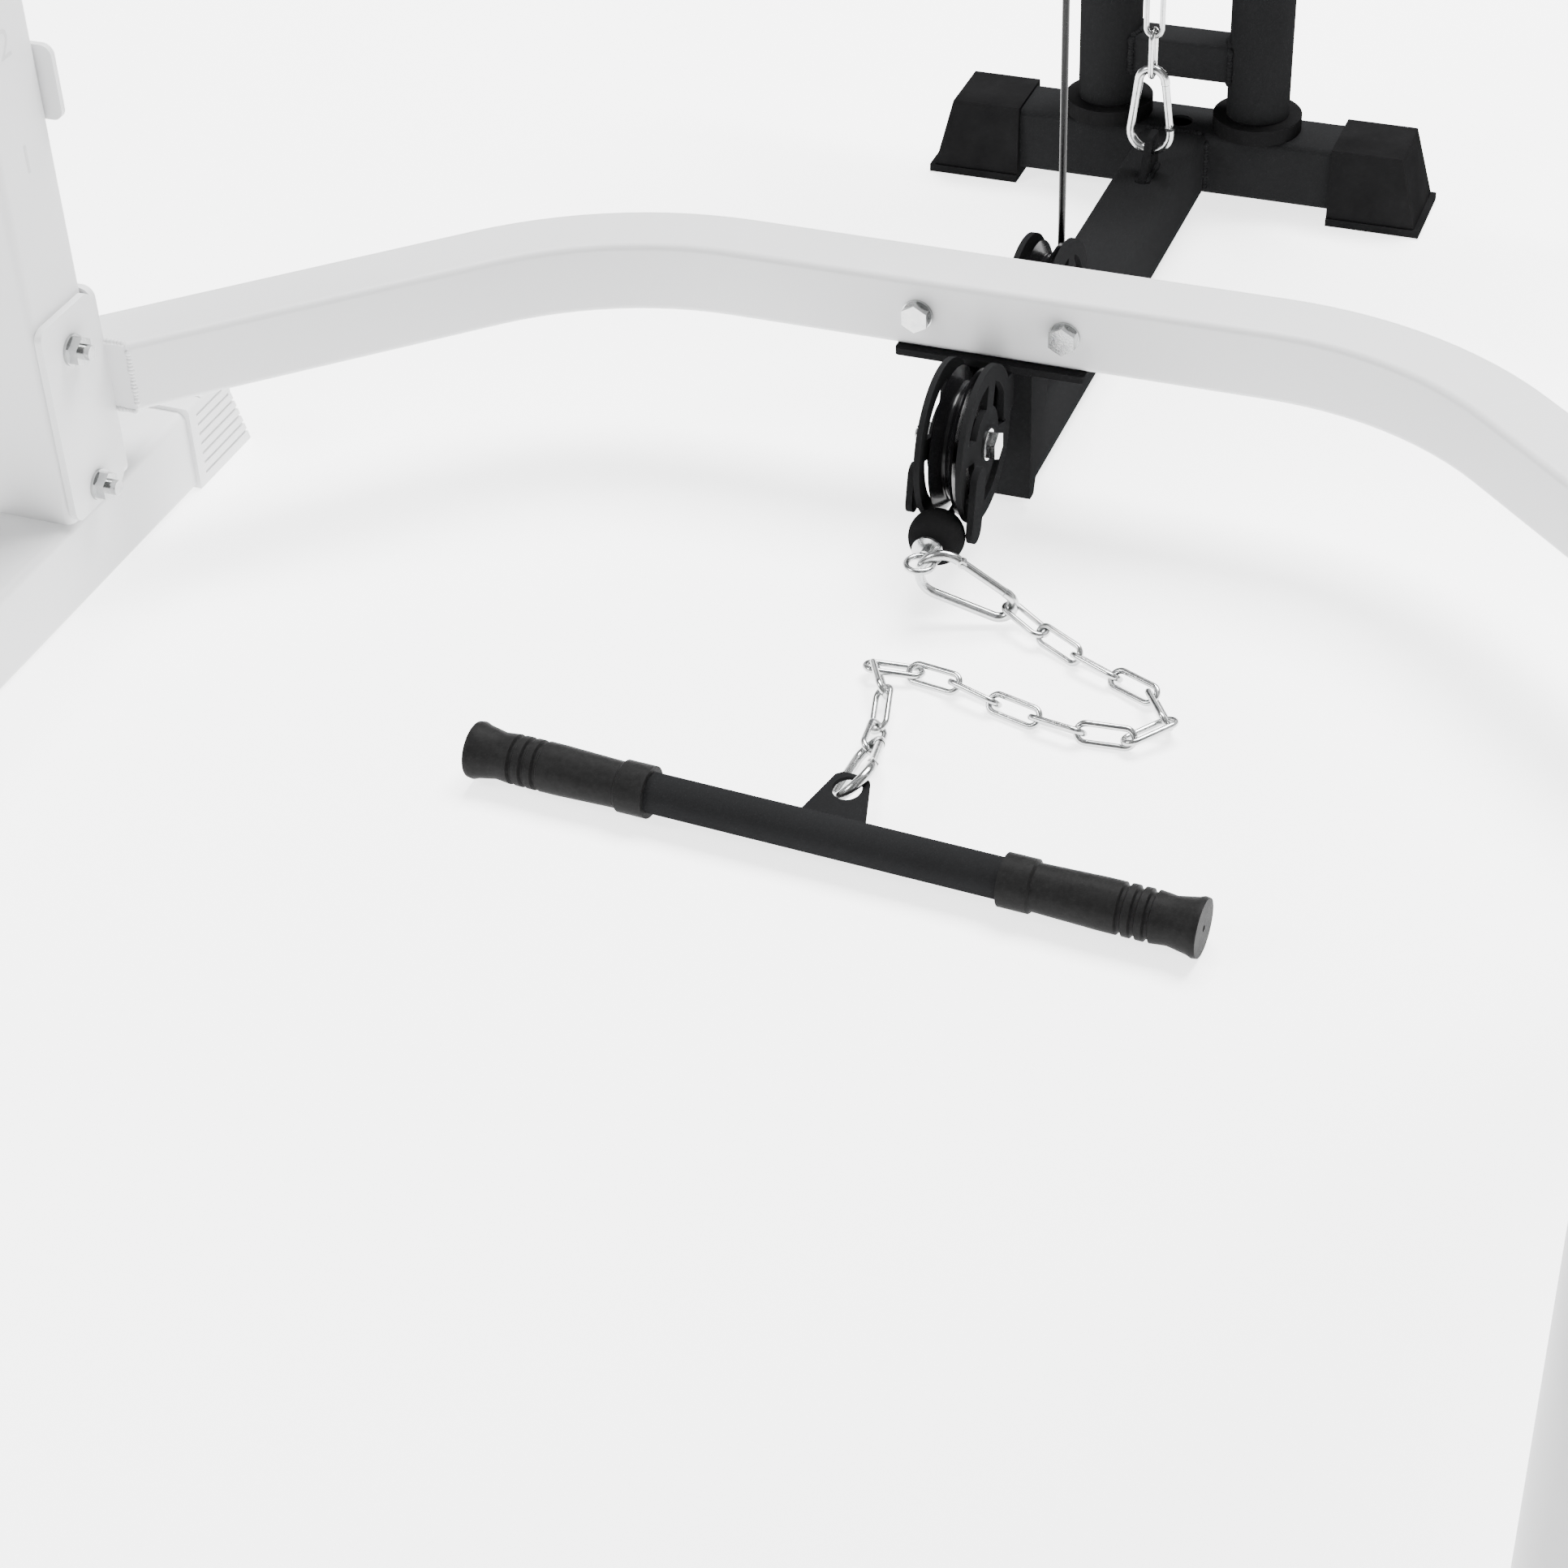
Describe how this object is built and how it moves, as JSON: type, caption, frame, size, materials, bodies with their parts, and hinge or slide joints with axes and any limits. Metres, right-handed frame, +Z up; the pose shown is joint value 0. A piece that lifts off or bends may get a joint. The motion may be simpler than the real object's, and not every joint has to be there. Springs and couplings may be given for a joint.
{
  "type": "power cage",
  "caption": "Power cage with a plate-loaded lat pulldown and low row tower bolted behind its bent rear crossbar.",
  "frame": {"origin": "on the floor, in the middle of the whole outline seen from above", "axes": "+Z up, +Y from the open front towards the pulley tower, +X to the right of someone facing +Y"},
  "size_m": [1.589, 2.03, 2.192],
  "materials": {
    "frame_grey": "satin powder coat",
    "tower_black": "fine-texture powder coat",
    "zinc_steel": "bright zinc plate",
    "guide_chrome": "polished",
    "black_rubber": "matt",
    "black_nylon": "moulded, semi-gloss",
    "cable_black": "smooth nylon coat",
    "grey_plastic": "moulded"
  },
  "bodies": {
    "frame": {"left_base_runner": "frame_grey", "right_base_runner": "frame_grey", "front_left_upright": "frame_grey", "front_right_upright": "frame_grey", "rear_left_upright": "frame_grey", "rear_right_upright": "frame_grey", "rear_crossbar": "frame_grey", "crossbar_brackets": "frame_grey", "left_top_rail": "frame_grey", "right_top_rail": "frame_grey", "rear_top_crossbar": "frame_grey", "pull_up_bar": "frame_grey", "plate_pegs": "frame_grey", "safety_bars": "frame_grey", "tower_base_tube": "tower_black", "tower_foot_tube": "tower_black", "tower_mount_bracket": "tower_black", "top_beam": "tower_black", "row_bar": "tower_black", "frame_bolts": "zinc_steel", "frame_nuts": "zinc_steel", "pulley_bolts": "zinc_steel", "pulley_nuts": "zinc_steel", "row_chain": "zinc_steel", "anchor_chain": "zinc_steel", "row_snap_hooks": "zinc_steel", "row_cable_eyes": "zinc_steel", "pulley_bushings": "zinc_steel", "guide_posts": "guide_chrome", "runner_end_caps": "black_rubber", "tower_foot_caps": "black_rubber", "post_bumpers": "black_rubber", "row_ball_stop": "black_rubber", "row_bar_grips": "black_rubber", "row_cable": "cable_black", "lat_cable_over": "cable_black", "lat_cable_bar_run": "cable_black", "lat_cable_weight_run": "cable_black", "tube_plugs": "grey_plastic"},
    "carriage": {"weight_carriage": "tower_black", "carriage_bushes": "black_nylon", "carriage_eyelet": "zinc_steel"},
    "lat_handle": {"lat_bar": "tower_black", "lat_bar_grips": "black_rubber", "lat_ball_stop": "black_rubber", "lat_snap_hook": "zinc_steel"},
    "lat_gate": {"lat_hook_gate": "zinc_steel"},
    "row_gate": {"row_hook_gate": "zinc_steel"},
    "anchor_gate": {"anchor_hook_gate": "zinc_steel"},
    "handle_gate": {"bar_hook_gate": "zinc_steel"},
    "front_low_wheel": {"front_low_pulley": "black_nylon"},
    "rear_low_wheel": {"rear_low_pulley": "black_nylon"},
    "lat_front_wheel": {"lat_front_pulley": "black_nylon"},
    "lat_rear_wheel": {"lat_rear_pulley": "black_nylon"},
    "row_top_front_wheel": {"row_top_front_pulley": "black_nylon"},
    "row_top_rear_wheel": {"row_top_rear_pulley": "black_nylon"},
    "left_pin": {"left_safety_pin": "zinc_steel"},
    "right_pin": {"right_safety_pin": "zinc_steel"},
    "left_hook": {"left_bar_hook": "tower_black"},
    "right_hook": {"right_bar_hook": "tower_black"}
  },
  "joints": [
    {"name": "carriage_slide", "type": "slide", "parent": "frame", "child": "carriage", "axis": [0, 0, 1], "range_m": [0, 1.2], "deforming": ["lat_cable_weight_run"]},
    {"name": "lat_bar_slide", "type": "slide", "parent": "frame", "child": "lat_handle", "axis": [0, 0, 1], "range_m": [-1.2, 0], "deforming": ["lat_cable_bar_run"]},
    {"name": "front_low_spin", "type": "hinge", "parent": "frame", "child": "front_low_wheel", "pos_m": [0, 0.434, 0.084], "axis": [1, 0, 0], "continuous": true},
    {"name": "rear_low_spin", "type": "hinge", "parent": "frame", "child": "rear_low_wheel", "pos_m": [0, 0.61, 0.084], "axis": [1, 0, 0], "continuous": true},
    {"name": "lat_front_spin", "type": "hinge", "parent": "frame", "child": "lat_front_wheel", "pos_m": [0, 0.14, 2.144], "axis": [1, 0, 0], "range_deg": [-5, 1690]},
    {"name": "lat_rear_spin", "type": "hinge", "parent": "frame", "child": "lat_rear_wheel", "pos_m": [0, 0.936, 2.144], "axis": [1, 0, 0], "range_deg": [-5, 1690]},
    {"name": "row_top_front_spin", "type": "hinge", "parent": "frame", "child": "row_top_front_wheel", "pos_m": [0, 0.692, 1.985], "axis": [1, 0, 0], "continuous": true},
    {"name": "row_top_rear_spin", "type": "hinge", "parent": "frame", "child": "row_top_rear_wheel", "pos_m": [0, 0.84, 1.985], "axis": [1, 0, 0], "continuous": true},
    {"name": "row_gate_hinge", "type": "hinge", "parent": "frame", "child": "row_gate", "pos_m": [0.02672, 0.35327, 0.04533], "axis": [-0.1996, 0.9799, 0], "range_deg": [0, 20], "stiffness_Nm_per_rad": 0.02, "springref_deg": -8.59},
    {"name": "anchor_gate_hinge", "type": "hinge", "parent": "frame", "child": "anchor_gate", "pos_m": [0.0146, 0.881, 0.09716], "axis": [0, -1, 0], "range_deg": [0, 20], "stiffness_Nm_per_rad": 0.02, "springref_deg": -8.59},
    {"name": "handle_gate_hinge", "type": "hinge", "parent": "frame", "child": "handle_gate", "pos_m": [0.03558, 0.15707, 0.03085], "axis": [-0.7055, 0.0683, 0.7055], "range_deg": [0, 20], "stiffness_Nm_per_rad": 0.02, "springref_deg": -8.59},
    {"name": "lat_gate_hinge", "type": "hinge", "parent": "lat_handle", "child": "lat_gate", "pos_m": [0, 0.1136, 2.03272], "axis": [-1, 0, 0], "range_deg": [0, 20], "stiffness_Nm_per_rad": 0.02, "springref_deg": -8.59},
    {"name": "left_pin_slide", "type": "slide", "parent": "frame", "child": "left_pin", "axis": [0, -1, 0], "range_m": [0, 0.11]},
    {"name": "left_hook_turn", "type": "hinge", "parent": "frame", "child": "left_hook", "pos_m": [-0.5575, -0.822, 1.355], "axis": [0, -1, 0], "range_deg": [0, 90]},
    {"name": "right_pin_slide", "type": "slide", "parent": "frame", "child": "right_pin", "axis": [0, -1, 0], "range_m": [0, 0.11]},
    {"name": "right_hook_turn", "type": "hinge", "parent": "frame", "child": "right_hook", "pos_m": [0.5575, -0.822, 1.355], "axis": [0, 1, 0], "range_deg": [0, 90]}
  ],
  "couplings": [
    {"joint": "lat_bar_slide", "follows": "carriage_slide", "ratio": -1},
    {"joint": "lat_front_spin", "follows": "carriage_slide", "rad_per_m": 24.39},
    {"joint": "lat_rear_spin", "follows": "carriage_slide", "rad_per_m": 24.39}
  ]
}
